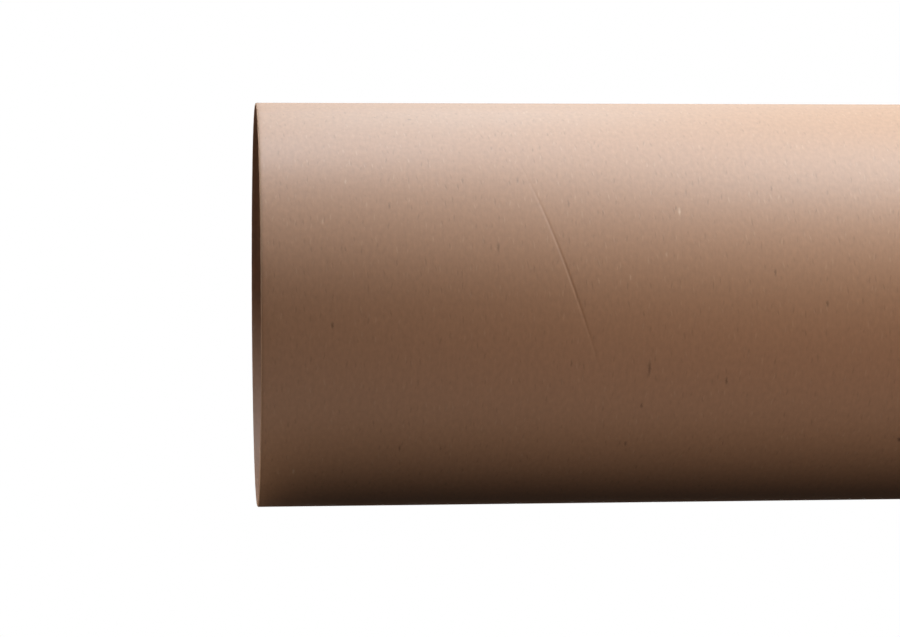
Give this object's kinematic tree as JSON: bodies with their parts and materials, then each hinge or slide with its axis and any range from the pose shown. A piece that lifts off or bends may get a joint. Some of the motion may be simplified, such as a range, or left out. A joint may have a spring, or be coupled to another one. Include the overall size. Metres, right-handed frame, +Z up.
{
  "type": "concrete form tube",
  "caption": "Thin-walled spiral-wound fibreboard tube, open at both square-cut ends, that shapes a round concrete column poured inside it.",
  "frame": {"origin": "centre of the tube on the plane of its bottom end, where it stands", "axes": "+Z up along the tube; the pictured side faces -Y, and the picture's top edge is +X"},
  "size_m": [0.3098, 0.3098, 1.2192],
  "materials": {
    "kraft_board": "matte"
  },
  "bodies": {
    "root": {"form_tube": "kraft_board"}
  },
  "joints": []
}
